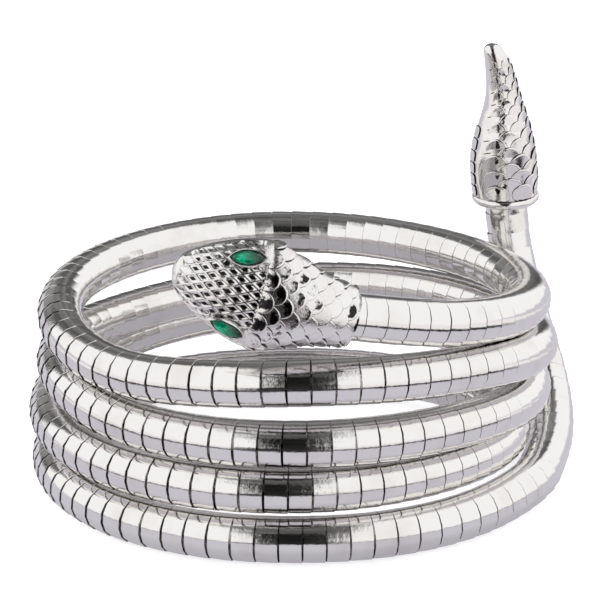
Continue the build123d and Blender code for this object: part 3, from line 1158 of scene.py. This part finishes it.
def makeTailScales():
    s = tailSet
    poses = []
    for tilt, lift in (s["lowerPose"], s["upperPose"]):
        # a plain scale, and two with a painted dark reflection in the hollow for the columns that face
        # the front
        tiles = [makeScaleTile(*s["scaleHalf"], s["scaleRise"], -tilt, dark)
                 for dark in (None, s["hollowShade"], s["sideHollowShade"])]
        poses.append((tiles, lift))
    rise, tilt, square = s["plateShape"]
    plate = makeScaleTile(*s["bellyHalf"], rise, tilt, None, square)
    groove = makeGroove()
    placed = []
    degree = s["flatRadius"] * math.pi / 180

    def addTile(shape, u, angle, lift, turn, size=1.0):
        place = Matrix.Translation((u, -angle * degree, lift))
        place = place @ Matrix.Rotation(turn, 4, "Z") @ Matrix.Scale(size, 4)
        scale = copyPiece(shape, place)
        wrapPiece(scale, tailSpot)
        placed.append(scale)

    unevenLift, unevenTurn = s["scaleWobble"]
    taperStart, taper = s["taper"]
    for column in range(s["columns"]):
        angle = s["firstColumn"] + column * s["columnDegrees"]
        kind = (1, 2)[column] if column < 2 else 0
        for row in range(s["rows"]):
            u = s["firstTip"] + (row + 0.5 * (column % 2)) * s["columnPitch"] - s["scaleHalf"][0]
            if u > s["lastScale"]:
                continue
            wobble = noise.noise(Vector((u, column, 7.1)))
            tiles, lift = poses[0 if u < s["upperStart"] else 1]
            size = 1 - taper * max(0.0, u - taperStart)
            addTile(tiles[kind], u, angle, lift + unevenLift * wobble, unevenTurn * wobble, size)
    for row in range(s["bellyPlates"]):
        addTile(plate, s["firstPlate"] + row * s["bellyPitch"], s["bellyMiddle"], s["plateLift"], 0)
    first, pitch = s["groovePlace"]
    wide, narrower = s["grooveDegrees"]
    for row in range(s["grooves"]):
        for mirror in (1, -1):
            angle = s["bellyMiddle"] + mirror * (wide - narrower * (row % 2))
            addTile(groove, first + row * pitch, angle, 0, s["grooveTurn"] * mirror)
    for shape in (*poses[0][0], *poses[1][0], plate, groove):
        dropPiece(shape)
    return joinPieces(placed, "tailScales")


def makeCollar():
    s = tailSet
    collar = makeLoopPiece(s["collarSides"], s["collarProfile"])
    smoothByAngle(50)
    # painted shade on the turned-in top of the collar, where it meets the tail
    markPaintedShading(collar, lambda place, middle: s["collarShade"] if place.z > s["collarHeight"] else 0.0)
    place, forward, side, up = tailFrame
    placed = copyPiece(collar, axesMatrix(side, up, forward, place, mm))
    dropPiece(collar)
    return placed


tailFrame = castFrame(coilPoints[-1], coilPoints[-2], tailSet["turn"], 0)
tailCast = joinPieces([makeTailShell(), makeTailScales(), makeCollar()], "tailCast")
setMaterial(tailCast, tailSilver)
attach(tailCast, "root")
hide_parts("tail")
print("tail faces", len(tailCast.data.polygons))

print("floor, light and camera")

studioSet = {
    "floorColor": (0.90, 0.90, 0.91),
    "floorGlow": 0.55,
    "floorSize": 6,
    "floorDrop": -0.02 * mm,
    # the table as the metal shows it, near the coil and further off
    "tableNear": (0.66, 0.645, 0.715),
    "tableFar": (0.97, 0.95, 0.95),
    # edge of the near sheet, and how far back it changes
    "sheetEdge": (0.128, 0.134),
    "sheetBack": (0.05, 0.12),
    # a dark line inside that edge: where it starts, and how far back it goes
    "lineStart": (0.092, 0.100),
    "lineBack": (-0.02, 0.01),
    # the dark place in front: where it starts, its slant to one side, its half width
    "slitStart": (0.115, 0.135),
    "slitSlant": 0.16,
    "slitHalf": (0.25, 0.40),
    # shade inside the coil
    "insideEdge": (0.032, 0.042),
    "insideShade": 0.32,
    "darkShare": 0.97,
    # white walls at the sides: side, raggedness, inner edge, slant of the other edge and where it lies
    "wallRight": (1.0, 0.2, (0.22, 0.36), 3.0, (0.0, 0.3)),
    "wallLeft": (-1.0, -0.3, (0.13, 0.23), -1.25, (0.0, 0.1)),
    "wallWhite": 1.06,
    # uneven grey elsewhere, from dark to light
    "wallNoise": {"Scale": 3.0, "Detail": 4},
    "wallBehind": (0.08, 0.30),
    "greyRange": (0.35, 0.70),
    # the black gap in front: its edges, its ragged top, and how dark it is
    "gapFront": (0.2, 0.3),
    "gapTop": (0.86, 0.96),
    "gapRagged": 0.4,
    "gapShade": 0.9,
    "cameraElevation": 18.85,
    "cameraDistance": 0.4099,
    "cameraAim": (-0.34 * mm, 0.43 * mm, 25.51 * mm),
    "lens": 172.8,
}


def makeWorld():
    # in the metal: a white wall at each side, uneven grey above and behind, a black gap in front
    s = studioSet
    world = bpy.data.worlds.new("studio")
    bpy.context.scene.world = world
    world.use_nodes = True
    nodes = world.node_tree.nodes
    maths, between, without = nodeTools(nodes)
    place = addNode(nodes, "TexCoord").outputs["Generated"]
    x, y, z = addNode(nodes, "SeparateXYZ", {"Vector": place}).outputs
    uneven = addNode(nodes, "TexNoise", {"Vector": place, **s["wallNoise"]}).outputs["Fac"]

    def wall(side, ragged, inner, slant, outer):
        # its inner edge is ragged, its other edge lies along a slant
        white = between(maths("MULTIPLY_ADD", uneven, ragged, maths("MULTIPLY", x, side)), *inner)
        cut = between(maths("SUBTRACT", maths("MULTIPLY", x, slant), y), *outer)
        return maths("MULTIPLY", white, cut)

    walls = maths("MAXIMUM", wall(*s["wallLeft"]), wall(*s["wallRight"]))
    top = between(maths("MULTIPLY_ADD", uneven, s["gapRagged"], z), *s["gapTop"])
    gap = maths("MULTIPLY", between(maths("MULTIPLY", y, -1.0), *s["gapFront"]), without(top))
    dark, light = s["wallBehind"]
    grey = maths("MULTIPLY_ADD", between(uneven, *s["greyRange"]), light - dark, dark)
    grey = maths("MULTIPLY", grey, without(maths("MULTIPLY", gap, s["gapShade"])))
    level = maths("MAXIMUM", maths("MULTIPLY", walls, s["wallWhite"]), grey)
    # the backdrop is white, and dull surfaces get an even light
    seen = addNode(nodes, "LightPath").outputs
    level = maths("MAXIMUM", level, seen["Is Camera Ray"])
    level = maths("MAXIMUM", level, seen["Is Diffuse Ray"])
    background = nodes["Background"]
    background.inputs["Color"].default_value = (1, 1, 1, 1)
    feed(background.inputs["Strength"], level)


def makeFloor():
    s = studioSet
    deselectAll()
    bpy.ops.mesh.primitive_plane_add(size=s["floorSize"], location=(0, 0, s["floorDrop"]))
    floor = bpy.context.object
    floor.name = "floor"
    applyPlace()
    material, nodes, shader = newMaterial("paleFloor", {
        "Base Color": (*s["floorColor"], 1), "Roughness": 0.9, "Specular IOR Level": 0.0,
        "Emission Color": (1, 1, 1, 1), "Emission Strength": s["floorGlow"]})
    maths, between, without = nodeTools(nodes)
    # in the metal the table shows a lavender grey, paler further off
    place = addNode(nodes, "TexCoord").outputs["Object"]
    x, y = addNode(nodes, "SeparateXYZ", {"Vector": place}).outputs[:2]
    length = addNode(nodes, "VectorMath", {0: place})
    length.operation = "LENGTH"
    radius = length.outputs["Value"]
    outside = between(radius, *s["sheetEdge"])
    farther = maths("MULTIPLY", outside, without(between(y, *s["sheetBack"])))
    tone = mixColor(nodes, farther, (*s["tableNear"], 1), (*s["tableFar"], 1))
    # a dark line round the sheet, a dark place in front, and shade inside the coil
    line = maths("MULTIPLY", between(radius, *s["lineStart"]), without(outside))
    line = maths("MULTIPLY", line, without(between(y, *s["lineBack"])))
    slant = maths("ADD", maths("DIVIDE", x, maths("ABSOLUTE", y)), s["slitSlant"])
    slit = without(between(maths("ABSOLUTE", slant), *s["slitHalf"]))
    slit = maths("MULTIPLY", between(maths("MULTIPLY", y, -1.0), *s["slitStart"]), slit)
    inside = maths("MULTIPLY", without(between(radius, *s["insideEdge"])), s["insideShade"])
    dark = maths("MAXIMUM", maths("MAXIMUM", slit, line), inside)
    strength = maths("MULTIPLY_ADD", dark, -s["darkShare"], 1.0)
    tableGlow = addNode(nodes, "Emission", {"Color": tone, "Strength": strength})
    glossy = addNode(nodes, "LightPath").outputs["Is Glossy Ray"]
    mix = addNode(nodes, "MixShader", {
        0: glossy, 1: shader.outputs["BSDF"], 2: tableGlow.outputs["Emission"]})
    feed(nodes["Material Output"].inputs["Surface"], mix.outputs["Shader"])
    setMaterial(floor, material)


def makeCamera():
    s = studioSet
    elevation = math.radians(s["cameraElevation"])
    aim = Vector(s["cameraAim"])
    data = bpy.data.cameras.new("camera")
    data.lens = s["lens"]
    data.sensor_width = 36
    data.clip_start = 0.01
    camera = bpy.data.objects.new("camera", data)
    camera.location = aim + Vector((0, -math.cos(elevation), math.sin(elevation))) * s["cameraDistance"]
    camera.rotation_euler = (math.pi / 2 - elevation, 0, 0)
    bpy.context.collection.objects.link(camera)
    bpy.context.scene.camera = camera


makeWorld()
makeFloor()
makeCamera()
bpy.context.scene.view_settings.view_transform = "Standard"
